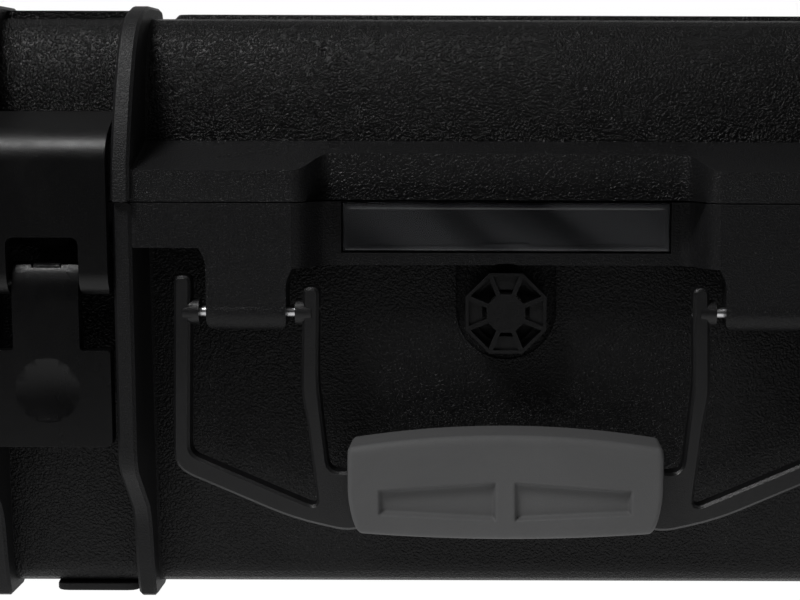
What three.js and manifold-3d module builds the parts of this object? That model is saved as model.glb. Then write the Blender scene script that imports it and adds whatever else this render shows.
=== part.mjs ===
// Protective hard case: two moulded shells with rear hinges, a front handle, two over-centre
// latches, a pressure valve and a label window. Millimetres, +Z up, the front faces -Y.
import * as THREE from 'three';
import { mergeVertices } from 'three/addons/utils/BufferGeometryUtils.js';
import Module from 'manifold-3d';

const wasm = await Module();
wasm.setup();

// Overall size
const flangeWidth = 516;
const flangeDepth = 410;
const seamHeight = 156.1;
const lidHeight = 67.5;
const floorClearance = 3.3;
const wallThickness = 4;
const seamGap = 0.4;
const fitGap = 0.3;
const overrun = 5;

// Shell walls, set in from the front face of the flange; the sides stand out less
const sideSetback = 10;
const cornerRadius = 73;
const baseWallInset = 28;
const baseDraft = 4;
const baseEdgeRadius = 10;
const lidWallInset = 26;
const lidWallRun = 18;
// Inset as a share of lidWallRun, height as a share of the lid's height
const lidWallShares = [
  [0, 0.324], [0.067, 0.547], [0.15, 0.68], [0.294, 0.7985], [0.428, 0.8726],
  [0.561, 0.9244], [0.711, 0.9644], [0.872, 0.9896], [1, 1],
];

// Flange round the seam
const flangeCornerRadius = 62;
const centreInset = 15;
const stepRun = 14.4;
const stepGap = 1.75;
const lidBandHeight = 11.6;
const lidSlopeRise = 10;
const baseBandHeight = 16.6;
const centreBandHeight = 24.1;
const skirtThickness = 4.2;
const landInset = 19;

// Seal in the lid's groove
const sealInset = 24;
const sealWidth = 4.4;
const sealHeight = 4.2;

// Raised panel and bars on the lid
const panelHeight = 2;
const panelClearance = 6;
const panelInset = 48;
const panelRadius = 8;
const barHeight = 3.3;
const barInset = 48;
const barDepth = 8;

// Protective ribs beside each latch and each hinge, placed by a share of the half width
const latchPlaceShare = 0.65039;
const bayWidth = 49.8;
const ribWidth = 6.9;
const ribRound = 1.1;
const ribRise = 4.7;
const lidRibProtrusion = 3.5;
const lidRibReach = 44.5;
const lidRibTopRun = 24;
// Inset as a share of lidRibReach, height above the seam as a share of the rib's height
const lidRibShares = [
  [0, 0], [0.022, 0.193], [0.117, 0.386], [0.213, 0.553], [0.366, 0.76],
  [0.47, 0.845], [0.573, 0.906], [0.69, 0.948], [0.798, 0.975], [0.9, 0.992], [1, 1],
];
const baseRibProtrusion = 1.2;
const baseRibReach = 49.2;
// Inset as a share of baseRibReach, height as a share of the seam's height
const baseRibShares = [
  [0, 0.41], [0.012, 0.378], [0.05, 0.352], [0.40, 0.245], [0.45, 0.21], [0.475, 0.18],
  [0.515, 0.096], [0.5625, 0.032], [0.595, 0.008], [0.646, 0], [0.92, 0], [0.98, 0.008], [1, 0.034],
];

// Handle and its brackets, placed by a share of the half width
const bracketPlaceShare = 0.36822;
const bracketWidth = 29.1;
const bracketDepth = 12;
const bracketWebWidth = 6;
const handleAxisDrop = 40.5;
const handleAxisInset = 6;
const barrelRadius = 6.6;
const bracketCorner = 4;
const flareWidth = 2.4;
const flareRise = 5;
const handlePinRadius = 2;
const armReach = 5.95;
const armWidth = 6;
const armThickness = 8.5;
const outerArmRise = 13.5;
const innerArmRise = 9.4;
const bossRadius = 4.8;
const bossGap = 3.1;
const handleDrop = 84;
const handleRound = 1;

// Half of the handle plate: across as a share of its half width, down as a share of handleDrop,
// and a corner radius as a share of armWidth
const plateHiddenShare = 0.385;
const plateLowerShares = [[0.4765, 0.981, 1], [0.649, 0.924, 3], [1.014, 0.695, 1.2]];
const plateLoopShares = [
  [0.9638, 0.63, 0.6], [0.572, 0.876, 0.8], [0.605, 0.473, 1.5], [0.6206, 0.358, 1.5],
];
const plateGripShares = [
  [0.57, 0.301, 1.5], [0.5597, 0.45, 1.5], [0.54, 0.7095, 0.7], [0.45, 0.7095, 0],
];

// Grip moulded over the handle's crossbar, its length a share of the handle's half width
const gripLengthShare = 0.47572;
const gripDrop = 63.3;
const gripHeight = 39;
const gripThickness = 22;
const gripInset = 3.2;
const gripRound = 6;
const gripCrown = 4.7;
const gripSag = 2.1;
const gripTaper = 4.4;
const crossbarHeight = 15.6;
const gripPanelDepth = 1.5;
// Corners of one grip panel as shares of the grip's half length and height
const gripPanelShares = [[0.059, 0.059], [0.059, -0.315], [0.803, -0.259], [0.803, -0.02]];

// Latches
const latchGap = 1.25;
const hookProtrusion = 4.4;
const hookThickness = 4.2;
const hookFoldHeight = 14.2;
const hookFoldReach = 4;
const roofRise = 24.8;
const roofSlopeShare = 0.53;
const hookReach = 16;
const tongueGap = 0.9;
const notchDrop = 12.6;
const bayInset = 1.5;
const bayDrop = 7.1;
const catchGap = 0.5;
const pivotDrop = 24.9;
const pivotInset = 4.5;
const linkDrop = 4.8;
const linkShift = 0.6;
const latchPinRadius = 1.5;
const eyeRadius = 3;
const hookEyeRadius = 4.6;
const lugWidth = 10;
const tongueHalfWidth = 12.2;
const leverMargin = 0.3;
const leverRound = 16;
const leverProtrusion = 2;
const leverThickness = 6;
const tongueWall = 2.9;
const leverDrop = 90.1;
const shoulderDrop = 54.2;
const leverCorner = 3;
const dimpleRadius = 12.45;
const dimpleDepth = 2.2;
const dimpleDrop = 69;

// Rear hinges
const hingeAxisOffset = 8;
const knuckleRadius = 5;
const hingePinRadius = 1.8;
const lidKnuckleHalf = 11;
const knuckleGap = 0.5;
const hingeMargin = 1.4;

// Label window
const labelMargin = 2.8;
const labelHeight = 19.6;
const labelRecess = 3;
const cardThickness = 0.8;
const coverThickness = 1.2;
const cardMargin = 3.2;

// Pressure valve
const valveDrop = 42.7;
const valveRecessRadius = 19.2;
const valveRecessDepth = 1.6;
const valvePadThickness = 2.6;
const valveAcross = 30.5;
const valveCapHeight = 9;
const valveFlangeRadius = 14.4;
const valveFlangeThickness = 3;
const valveStemRadius = 8;
const valveBoreRadius = 3.5;
const valveStemLength = 17;
const nutAcross = 24;
const nutHeight = 5;
const ringRadius = 11;
const ringTube = 1.2;
const membraneRadius = 7;
const membraneThickness = 0.8;
const capCavityRadius = 12.2;
const capFrontThickness = 3;
const hubRadius = 6.3;
const spokeWidth = 1.9;
const capRim = 1.2;
const capSlot = 1.7;

// Feet
const footShift = 6.8;
const footMargin = 8.3;
const footDepth = 14;
const footInset = 36;
const footRound = 5;

// Facets
const cornerSteps = 8;
const edgeSteps = 4;
const arcSteps = 4;
const gripSteps = 12;
const roundSides = 20;
const smallSides = 12;
const cornerShare = 0.46;

const halfWidth = flangeWidth / 2;
const halfDepth = flangeDepth / 2;
const baseTop = seamHeight - seamGap / 2;
const lidBottom = seamHeight + seamGap / 2;
const lidTop = seamHeight + lidHeight;
const ribTop = lidTop + ribRise;
const bandBottom = seamHeight - baseBandHeight;
const centreBottom = seamHeight - centreBandHeight;
const bayTop = seamHeight - bayDrop;
const handleAxisZ = seamHeight - handleAxisDrop;
const pivotZ = seamHeight - pivotDrop;
const linkZ = pivotZ - linkDrop;
const linkInset = pivotInset + linkShift;
const valveZ = seamHeight - valveDrop;
const latchX = latchPlaceShare * halfWidth;
const bracketX = bracketPlaceShare * halfWidth;
const bracketIn = bracketX - bracketWidth / 2;
const bracketOut = bracketX + bracketWidth / 2;
const stepOuterX = bracketIn - stepGap;
const stepInnerX = stepOuterX - stepRun;
const panelHalfWidth = latchX - bayWidth / 2 - ribWidth - panelClearance;
const handleHalfWidth = bracketOut + armReach + armWidth;
const gripHalfLength = gripLengthShare * handleHalfWidth;
const latchHalfWidth = bayWidth / 2 - latchGap;
const leverHalfWidth = latchHalfWidth - leverMargin;
const notchHalfWidth = tongueHalfWidth + tongueGap;
const hingeHalfLength = bayWidth / 2 - hingeMargin;
const labelHalfWidth = stepInnerX - labelMargin;
const footX = latchX - footShift;
const footLength = bayWidth - 2 * footMargin;
const quarterTurn = Math.PI / 2;
const unitX = new THREE.Vector3(1, 0, 0);
const unitY = new THREE.Vector3(0, 1, 0);
const unitZ = new THREE.Vector3(0, 0, 1);

// The y of a point that lies an inset behind the front face of the flange
const front = (inset) => inset - halfDepth;

function solidOf(geometry) {
  const plain = geometry.clone();
  plain.deleteAttribute('normal');
  plain.deleteAttribute('uv');
  const merged = mergeVertices(plain);
  const vertProperties = new Float32Array(merged.attributes.position.array);
  const triVerts = new Uint32Array(merged.index.array);
  return new wasm.Manifold(new wasm.Mesh({ numProp: 3, vertProperties, triVerts }));
}

function geometryOf(solid) {
  const mesh = solid.getMesh();
  const geometry = new THREE.BufferGeometry();
  geometry.setAttribute('position', new THREE.BufferAttribute(new Float32Array(mesh.vertProperties), 3));
  geometry.setIndex(new THREE.BufferAttribute(new Uint32Array(mesh.triVerts), 1));
  return geometry;
}

// The same solid after half a turn about the vertical
const turned = (solid) => solidOf(geometryOf(solid).rotateZ(Math.PI));

function joined(first, ...others) {
  return others.reduce((sum, other) => sum.add(other), first);
}

function box(x0, x1, y0, y1, z0, z1) {
  const geometry = new THREE.BoxGeometry(x1 - x0, y1 - y0, z1 - z0);
  geometry.translate((x0 + x1) / 2, (y0 + y1) / 2, (z0 + z1) / 2);
  return solidOf(geometry);
}

// A cylinder between two x values, centred on a line along X
function barAlongX(x0, x1, y, z, radius, sides = roundSides) {
  const geometry = new THREE.CylinderGeometry(radius, radius, x1 - x0, sides);
  geometry.rotateZ(quarterTurn);
  geometry.translate((x0 + x1) / 2, y, z);
  return solidOf(geometry);
}

// A cylinder between two y values, centred on a line along Y
function barAlongY(y0, y1, x, z, radius, sides = roundSides) {
  const geometry = new THREE.CylinderGeometry(radius, radius, y1 - y0, sides);
  geometry.translate(x, (y0 + y1) / 2, z);
  return solidOf(geometry);
}

function extruded(shape, length, round, bevelSegments) {
  return new THREE.ExtrudeGeometry(shape, {
    depth: length - 2 * round,
    bevelEnabled: round > 0,
    bevelSize: round,
    bevelThickness: round,
    bevelOffset: -round,
    bevelSegments,
    curveSegments: arcSteps,
  });
}

// A side profile in (y, z), extruded between two x values
function profileAlongX(shape, x0, x1, round = 0, bevelSegments = 1) {
  const geometry = extruded(shape, x1 - x0, round, bevelSegments);
  geometry.translate(0, 0, x0 + round);
  geometry.applyMatrix4(new THREE.Matrix4().makeBasis(unitY, unitZ, unitX));
  return solidOf(geometry);
}

// A front outline in (x, z), extruded between two y values
function outlineAlongY(shape, y0, y1, round = 0, bevelSegments = 2) {
  const geometry = extruded(shape, y1 - y0, round, bevelSegments);
  geometry.rotateX(quarterTurn);
  geometry.translate(0, y1 - round, 0);
  return solidOf(geometry);
}

// A plan outline in (x, y), extruded between two heights
function planAlongZ(shape, z0, z1, curveSegments = cornerSteps) {
  const geometry = new THREE.ExtrudeGeometry(shape, { depth: z1 - z0, bevelEnabled: false, curveSegments });
  geometry.translate(0, 0, z0);
  return solidOf(geometry);
}

// A closed shape through corners given as [u, v, radius]
function cornered(corners) {
  const shape = new THREE.Shape();
  const count = corners.length;
  corners.forEach(([u, v, radius = 0], index) => {
    const [pu, pv] = corners[(index + count - 1) % count];
    const [nu, nv] = corners[(index + 1) % count];
    const back = Math.hypot(pu - u, pv - v);
    const ahead = Math.hypot(nu - u, nv - v);
    const run = Math.min(radius, back * cornerShare, ahead * cornerShare);
    const start = [u + ((pu - u) * run) / back, v + ((pv - v) * run) / back];
    const end = [u + ((nu - u) * run) / ahead, v + ((nv - v) * run) / ahead];
    if (index === 0) shape.moveTo(...start);
    else shape.lineTo(...start);
    if (run > 0) shape.quadraticCurveTo(u, v, ...end);
  });
  shape.closePath();
  return shape;
}

// A rounded rectangle round the origin, as points, counter-clockwise
function roundedRectangle(halfA, halfB, radius, steps = cornerSteps) {
  const points = [];
  [[1, 1], [-1, 1], [-1, -1], [1, -1]].forEach(([signA, signB], quarter) => {
    for (let step = 0; step <= steps; step += 1) {
      const angle = (quarter + step / steps) * quarterTurn;
      const a = signA * (halfA - radius) + radius * Math.cos(angle);
      const b = signB * (halfB - radius) + radius * Math.sin(angle);
      points.push([a, b]);
    }
  });
  return points;
}

// Joins rings of equal length, one after the other, into one closed solid
function loft(rings) {
  const count = rings[0].length;
  const index = [];
  for (let ring = 0; ring + 1 < rings.length; ring += 1) {
    for (let step = 0; step < count; step += 1) {
      const a = ring * count + step;
      const b = ring * count + ((step + 1) % count);
      index.push(a, b, b + count, a, b + count, a + count);
    }
  }
  const last = (rings.length - 1) * count;
  for (let step = 1; step + 1 < count; step += 1) {
    index.push(0, step + 1, step, last, last + step, last + step + 1);
  }
  const geometry = new THREE.BufferGeometry();
  geometry.setAttribute('position', new THREE.Float32BufferAttribute(rings.flat(2), 3));
  geometry.setIndex(index);
  return solidOf(geometry);
}

// Stacks rounded rectangles that lie an inset inside the flange's own, lowest first
function stack(levels) {
  return loft(levels.map(([z, inset]) => {
    const halfX = halfWidth + sideSetback - inset;
    const ring = roundedRectangle(halfX, halfDepth - inset, cornerRadius - inset);
    return ring.map(([x, y]) => [x, y, z]);
  }));
}

// The flange in plan: full depth at the wings, set back between the two handle brackets
function flangePlan() {
  const reach = (stepOuterX - stepInnerX) / 2;
  const middle = halfDepth - centreInset;
  const radius = flangeCornerRadius;
  const shape = new THREE.Shape();
  shape.moveTo(halfWidth - radius, -halfDepth);
  shape.absarc(halfWidth - radius, radius - halfDepth, radius, -quarterTurn, 0, false);
  shape.absarc(halfWidth - radius, halfDepth - radius, radius, 0, quarterTurn, false);
  shape.lineTo(stepOuterX, halfDepth);
  shape.bezierCurveTo(stepOuterX - reach, halfDepth, stepInnerX + reach, middle, stepInnerX, middle);
  shape.lineTo(-stepInnerX, middle);
  shape.bezierCurveTo(-stepInnerX - reach, middle, reach - stepOuterX, halfDepth, -stepOuterX, halfDepth);
  shape.absarc(radius - halfWidth, halfDepth - radius, radius, quarterTurn, Math.PI, false);
  shape.absarc(radius - halfWidth, radius - halfDepth, radius, Math.PI, Math.PI + quarterTurn, false);
  shape.lineTo(-stepOuterX, -halfDepth);
  shape.bezierCurveTo(reach - stepOuterX, -halfDepth, -stepInnerX - reach, -middle, -stepInnerX, -middle);
  shape.lineTo(stepInnerX, -middle);
  shape.bezierCurveTo(stepInnerX + reach, -middle, stepOuterX - reach, -halfDepth, stepOuterX, -halfDepth);
  shape.closePath();
  return shape;
}

// Levels of the base's wall, all moved inwards by an offset
function baseLevels(offset, top) {
  const edge = baseEdgeRadius - offset;
  const edgeTop = floorClearance + baseEdgeRadius;
  const levels = [];
  for (let step = 0; step <= edgeSteps; step += 1) {
    const angle = quarterTurn * (1 - step / edgeSteps);
    const inset = baseWallInset + baseDraft + edge * (1 - Math.cos(angle));
    levels.push([edgeTop - edge * Math.sin(angle), inset + offset]);
  }
  levels.push([top, baseWallInset + offset]);
  return levels;
}

function lidLevels(offset, bottom) {
  const rising = lidWallShares.map(([along, up]) => (
    [seamHeight + up * (lidHeight - offset), lidWallInset + along * lidWallRun + offset]));
  return [[bottom, lidWallInset + offset], ...rising];
}

// Inset of the base's outer wall at a height
function wallInsetAt(z) {
  return baseWallInset + (baseDraft * (baseTop - z)) / (baseTop - floorClearance - baseEdgeRadius);
}

// The hollow behind the skirt of the flange, left solid between the handle brackets
function skirtHollow(z0, z1) {
  const ring = (z) => (
    roundedRectangle(halfWidth - skirtThickness, halfDepth - skirtThickness, flangeCornerRadius - skirtThickness)
      .map(([x, y]) => [x, y, z]));
  const land = stack([[z0 - overrun, landInset], [z1 + overrun, landInset]]);
  const middle = stepOuterX + skirtThickness / 2;
  const keep = box(-middle, middle, -flangeDepth, flangeDepth, z0 - overrun, z1 + overrun);
  return loft([ring(z0), ring(z1)]).subtract(land).subtract(keep);
}

// Side profile of a base rib: it steps back to a knee and runs under the base as a foot
function baseRibProfile() {
  const shape = new THREE.Shape();
  const inside = front(baseRibReach - baseRibProtrusion);
  shape.moveTo(inside, baseTop);
  shape.lineTo(front(-baseRibProtrusion), baseTop);
  baseRibShares.forEach(([along, up]) => {
    shape.lineTo(front(along * baseRibReach - baseRibProtrusion), up * seamHeight);
  });
  shape.closePath();
  return shape;
}

// Side profile of a lid rib: it curves back over the lid's edge and ends on the top
function lidRibProfile() {
  const shape = new THREE.Shape();
  const start = -lidRibProtrusion;
  const end = start + lidRibReach + lidRibTopRun;
  shape.moveTo(front(end), lidBottom);
  lidRibShares.forEach(([along, up]) => {
    shape.lineTo(front(start + along * lidRibReach), lidBottom + up * (ribTop - lidBottom));
  });
  shape.lineTo(front(end - ribRise), ribTop);
  shape.quadraticCurveTo(front(end), ribTop, front(end), lidTop - wallThickness / 2);
  shape.closePath();
  return shape;
}

// Every rib of one shell: a pair beside each latch, and a pair beside each hinge
function ribs(profile) {
  const all = [];
  for (const side of [-1, 1]) {
    for (const pair of [-1, 1]) {
      const inner = side * latchX + (pair * bayWidth) / 2;
      const x0 = Math.min(inner, inner + pair * ribWidth);
      const rib = profileAlongX(profile, x0, x0 + ribWidth, ribRound);
      all.push(rib, turned(rib));
    }
  }
  return all;
}

// A bracket flares into the flange above it and ends in the barrel that carries one handle pin
function handleBracket(side) {
  const x = side * bracketX;
  const wide = bracketWidth / 2 + flareWidth;
  const at = (offset, z, radius = 0) => [side * (bracketX + offset), z, radius];
  const outline = cornered([
    at(-bracketWidth / 2, handleAxisZ - barrelRadius, bracketCorner),
    at(bracketWidth / 2, handleAxisZ - barrelRadius, bracketCorner),
    at(bracketWidth / 2, bandBottom - flareRise, flareRise / 2),
    at(wide, bandBottom),
    at(wide, baseTop),
    at(-wide, baseTop),
    at(-wide, centreBottom),
    at(-bracketWidth / 2, centreBottom - flareRise, flareRise / 2),
  ]);
  const block = joined(
    box(x - wide, x + wide, front(0), front(bracketDepth), handleAxisZ, baseTop),
    box(x - wide, x + wide, front(bracketDepth), front(landInset), bandBottom, baseTop),
    barAlongX(x - wide, x + wide, front(handleAxisInset), handleAxisZ, barrelRadius, 2 * roundSides),
  ).intersect(outlineAlongY(outline, front(-halfDepth), front(landInset)));
  const half = bracketWebWidth / 2;
  const web = box(x - half, x + half, front(bracketDepth - barrelRadius / 2), front(baseWallInset + wallThickness),
    handleAxisZ + handlePinRadius + wallThickness / 2, baseTop);
  return block.add(web);
}

// A lug reaches out from the wall under the flange and carries one latch pivot
function latchLug(side) {
  const root = front(baseWallInset + wallThickness);
  const y = front(pivotInset);
  const shape = new THREE.Shape();
  shape.moveTo(root, pivotZ - eyeRadius);
  shape.lineTo(root, bayTop + skirtThickness / 2);
  shape.lineTo(front(landInset), bayTop + skirtThickness / 2);
  shape.lineTo(front(pivotInset + 2 * eyeRadius), pivotZ + eyeRadius);
  shape.lineTo(y, pivotZ + eyeRadius);
  shape.absarc(y, pivotZ, eyeRadius, quarterTurn, Math.PI + quarterTurn, false);
  shape.closePath();
  const x0 = side * latchX - lugWidth / 2;
  return profileAlongX(shape, x0, x0 + lugWidth);
}

// The space in front of the flange where one latch lies
function latchBay(side, z0, z1, inset) {
  const x = side * latchX;
  return box(x - bayWidth / 2, x + bayWidth / 2, front(-halfDepth), front(inset), z0, z1);
}

// One hinge knuckle of a shell; up is 1 for the lid and -1 for the base
function knuckle(x0, x1, up) {
  const y = halfDepth + hingeAxisOffset;
  const near = seamHeight + (up * seamGap) / 2;
  const far = seamHeight + up * knuckleRadius;
  const web = box(x0, x1, halfDepth - skirtThickness / 2, y, Math.min(near, far), Math.max(near, far));
  return barAlongX(x0, x1, y, seamHeight, knuckleRadius).add(web);
}

function pinHole(x, length, y, z, radius) {
  const half = length / 2 + fitGap;
  return barAlongX(x - half, x + half, y, z, radius + fitGap, smallSides);
}

function hingePinHole(x) {
  return pinHole(x, 2 * hingeHalfLength, halfDepth + hingeAxisOffset, seamHeight, hingePinRadius);
}

const valveFloorInset = wallInsetAt(valveZ) + valveRecessDepth;
const valvePadInset = valveFloorInset + wallThickness + valvePadThickness;

// A round recess for the valve, open upwards to the flange, and the hole for its stem
function valveRecess() {
  const floor = front(valveFloorInset);
  const out = front(centreInset);
  const half = valveRecessRadius;
  const round = barAlongY(out, floor, 0, valveZ, half, 2 * roundSides);
  const open = box(-half, half, out, floor, valveZ, centreBottom);
  const stem = barAlongY(floor - overrun, front(valvePadInset) + overrun, 0, valveZ, valveStemRadius + fitGap);
  return joined(round, open, stem);
}

// The slot of the label window, open at the seam
function labelRecessCut() {
  return box(-labelHalfWidth, labelHalfWidth, front(centreInset - overrun), front(centreInset + labelRecess),
    seamHeight - labelHeight, seamHeight + overrun);
}

function baseShell() {
  const plan = flangePlan();
  const centre = box(-bracketIn, bracketIn, -halfDepth, halfDepth, centreBottom, baseTop);
  let body = stack(baseLevels(0, baseTop));
  body = body.add(planAlongZ(plan, bandBottom, baseTop));
  body = body.add(planAlongZ(plan, centreBottom, baseTop).intersect(centre));
  body = body.subtract(skirtHollow(bandBottom - overrun, baseTop - skirtThickness));
  for (const side of [-1, 1]) {
    body = body.subtract(latchBay(side, bandBottom - overrun, bayTop, landInset));
    body = body.subtract(latchBay(side, bayTop - overrun, baseTop + overrun, bayInset));
  }
  body = joined(body, ...ribs(baseRibProfile()));
  const inner = lidKnuckleHalf + knuckleGap;
  for (const side of [-1, 1]) {
    const x = side * latchX;
    body = joined(body, handleBracket(side), latchLug(side));
    body = body.add(knuckle(x - hingeHalfLength, x - inner, -1));
    body = body.add(knuckle(x + inner, x + hingeHalfLength, -1));
  }
  body = body.subtract(stack(baseLevels(wallThickness, baseTop + overrun)));
  const padStart = front(valveFloorInset);
  body = body.add(barAlongY(padStart, front(valvePadInset), 0, valveZ, valveRecessRadius));
  body = body.subtract(joined(valveRecess(), labelRecessCut()));
  for (const side of [-1, 1]) {
    const x = side * latchX;
    body = body.subtract(pinHole(side * bracketX, bracketWidth, front(handleAxisInset), handleAxisZ, handlePinRadius));
    body = body.subtract(pinHole(x, lugWidth, front(pivotInset), pivotZ, latchPinRadius));
    body = body.subtract(hingePinHole(x));
  }
  return body;
}

const roofZ = (inset) => seamHeight + roofRise + roofSlopeShare * inset;
const roofDrop = hookThickness * Math.hypot(1, roofSlopeShare);
const catchZ = (inset) => roofZ(inset) - roofDrop - catchGap;

// The wedge between two lid ribs that the latch hook pulls down on
function lidCatch(side) {
  const nose = bayInset + hookThickness / 2;
  const shape = new THREE.Shape();
  shape.moveTo(front(bayInset), lidBottom);
  shape.lineTo(front(bayInset), catchZ(bayInset) - hookThickness / 2);
  shape.lineTo(front(nose), catchZ(nose));
  shape.lineTo(front(hookReach), catchZ(hookReach));
  shape.lineTo(front(lidWallInset + lidWallRun / 2), catchZ(hookReach));
  shape.lineTo(front(lidWallInset + lidWallRun / 2), lidBottom);
  shape.closePath();
  const x = side * latchX;
  return profileAlongX(shape, x - bayWidth / 2, x + bayWidth / 2);
}

function raisedPanel() {
  const ring = (z, shrink) => (
    roundedRectangle(panelHalfWidth - shrink, halfDepth - panelInset - shrink / 2, panelRadius - shrink / 2)
      .map(([x, y]) => [x, y, z]));
  return loft([ring(lidTop - wallThickness / 2, 0), ring(lidTop, 0), ring(lidTop + panelHeight, panelHeight)]);
}

// A low bar joins the two ribs of a pair on top of the lid, just behind its edge
function raisedBar(side, face) {
  const half = bayWidth / 2 + ribWidth / 2;
  const x = side * latchX;
  const bar = box(x - half, x + half, front(barInset), front(barInset + barDepth),
    lidTop - 2 * wallThickness, lidTop + barHeight);
  return face < 0 ? bar : turned(bar);
}

function sealRing(width, z0, z1) {
  const ring = stack([[z0, sealInset - width / 2], [z1, sealInset - width / 2]]);
  return ring.subtract(stack([[z0 - overrun, sealInset + width / 2], [z1 + overrun, sealInset + width / 2]]));
}

function lidShell() {
  const bandTop = seamHeight + lidBandHeight;
  const slopeTop = bandTop + lidSlopeRise;
  const outside = bandTop - (overrun * lidSlopeRise) / lidWallInset;
  const slope = (drop) => stack([
    [lidBottom - 2 * overrun, -overrun],
    [outside - drop, -overrun],
    [slopeTop - drop, lidWallInset],
  ]);
  const band = planAlongZ(flangePlan(), lidBottom, slopeTop).intersect(slope(0));
  const hollow = skirtHollow(lidBottom - overrun, slopeTop).intersect(slope(skirtThickness));
  let body = stack(lidLevels(0, lidBottom)).add(band).subtract(hollow);
  for (const side of [-1, 1]) {
    body = body.subtract(latchBay(side, lidBottom - overrun, slopeTop, bayInset));
    body = body.add(lidCatch(side));
  }
  body = joined(body, ...ribs(lidRibProfile()), raisedPanel());
  for (const side of [-1, 1]) {
    const x = side * latchX;
    body = joined(body, raisedBar(side, -1), raisedBar(side, 1));
    body = body.add(knuckle(x - lidKnuckleHalf, x + lidKnuckleHalf, 1));
  }
  body = body.subtract(stack(lidLevels(wallThickness, lidBottom - overrun)));
  body = body.subtract(sealRing(sealWidth + 2 * fitGap, lidBottom - overrun, lidBottom + sealHeight));
  return body.subtract(hingePinHole(-latchX)).subtract(hingePinHole(latchX));
}

function lidSeal() {
  return sealRing(sealWidth, seamHeight + seamGap / 4, lidBottom + sealHeight - fitGap);
}

const gripZ = handleAxisZ - gripDrop;

// The grip's length at a height: it narrows towards the bottom
function gripReach(z) {
  const low = Math.max(0, (gripZ - z) / (gripHeight / 2));
  return gripHalfLength - gripTaper * low * low;
}

// The grip as rings from end to end, grown on all sides by a gap
function gripSolid(grow) {
  const y = front(gripInset);
  const ring = (share, shrink) => {
    const arch = 1 - share * share;
    const top = gripHeight / 2 - gripCrown * (1 - arch) - shrink;
    const bottom = gripHeight / 2 - gripSag * (1 - arch) - shrink;
    const halfHeight = (top + bottom) / 2 + grow;
    const centre = gripZ + (top - bottom) / 2;
    const halfDeep = gripThickness / 2 - shrink + grow;
    const radius = Math.min(gripRound, halfDeep, halfHeight) - shrink / 2;
    return roundedRectangle(halfDeep, halfHeight, radius, edgeSteps).map(([a, b]) => (
      [share * (gripReach(centre + b) + grow), y + a, centre + b]));
  };
  const rings = [];
  const endShare = 1 - gripRound / gripHalfLength / 2;
  rings.push(ring(-1, gripRound / 2));
  for (let step = 0; step <= gripSteps; step += 1) {
    rings.push(ring(endShare * ((2 * step) / gripSteps - 1), 0));
  }
  rings.push(ring(1, gripRound / 2));
  return loft(rings);
}

function handleGrip() {
  const y = front(handleAxisInset);
  const bar = crossbarHeight / 2 + fitGap;
  const clear = armThickness / 2 + fitGap;
  let grip = gripSolid(0);
  grip = grip.subtract(box(-flangeWidth, flangeWidth, y - clear, y + clear, gripZ - bar, gripZ + bar));
  for (const side of [-1, 1]) {
    const corners = gripPanelShares.map(([across, up]) => (
      [side * across * gripHalfLength, gripZ + up * gripHeight, gripPanelDepth]));
    const shape = cornered(corners);
    const near = front(gripInset) - gripThickness / 2;
    const far = front(gripInset) + gripThickness / 2;
    grip = grip.subtract(outlineAlongY(shape, near - overrun, near + gripPanelDepth));
    grip = grip.subtract(outlineAlongY(shape, far - gripPanelDepth, far + overrun));
  }
  return grip;
}

// One side of the handle plate: two arms that meet at the grip, with a loop between them
function handlePlate(side) {
  const outerIn = handleHalfWidth - armWidth;
  const innerOut = bracketIn - armReach;
  const place = ([across, down, rounding]) => (
    [side * across * handleHalfWidth, handleAxisZ - down * handleDrop, rounding * armWidth]);
  const soft = armWidth / 2;
  const hidden = side * plateHiddenShare * handleHalfWidth;
  const shape = cornered([
    [hidden, gripZ - crossbarHeight],
    ...plateLowerShares.map(place),
    [side * handleHalfWidth, handleAxisZ + outerArmRise, soft],
    [side * outerIn, handleAxisZ + outerArmRise, soft],
    ...plateLoopShares.map(place),
    [side * innerOut, handleAxisZ + innerArmRise, soft],
    [side * (innerOut - armWidth), handleAxisZ + innerArmRise, soft],
    ...plateGripShares.map(place),
  ]);
  const y = front(handleAxisInset);
  return outlineAlongY(shape, y - armThickness / 2, y + armThickness / 2, handleRound, 1);
}

// How far a handle pin reaches past each side of its bracket
const pinOverhang = armReach + armWidth - handleRound;

function handleFrame() {
  const y = front(handleAxisInset);
  const reach = gripHalfLength + handleRound;
  const bar = box(-reach, reach, y - armThickness / 2, y + armThickness / 2,
    gripZ - crossbarHeight / 2, gripZ + crossbarHeight / 2);
  let frame = handlePlate(-1).add(handlePlate(1)).subtract(gripSolid(fitGap)).add(bar);
  const boss = (from, to) => barAlongX(Math.min(from, to), Math.max(from, to), y, handleAxisZ, bossRadius);
  for (const side of [-1, 1]) {
    frame = frame.add(boss(side * (bracketOut + bossGap), side * (bracketOut + armReach + armWidth / 2)));
    frame = frame.add(boss(side * (bracketIn - bossGap), side * (bracketIn - armReach - armWidth / 2)));
    frame = frame.subtract(pinHole(side * bracketX, bracketWidth + 2 * (pinOverhang + overrun), y, handleAxisZ,
      handlePinRadius));
  }
  return frame;
}

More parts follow.
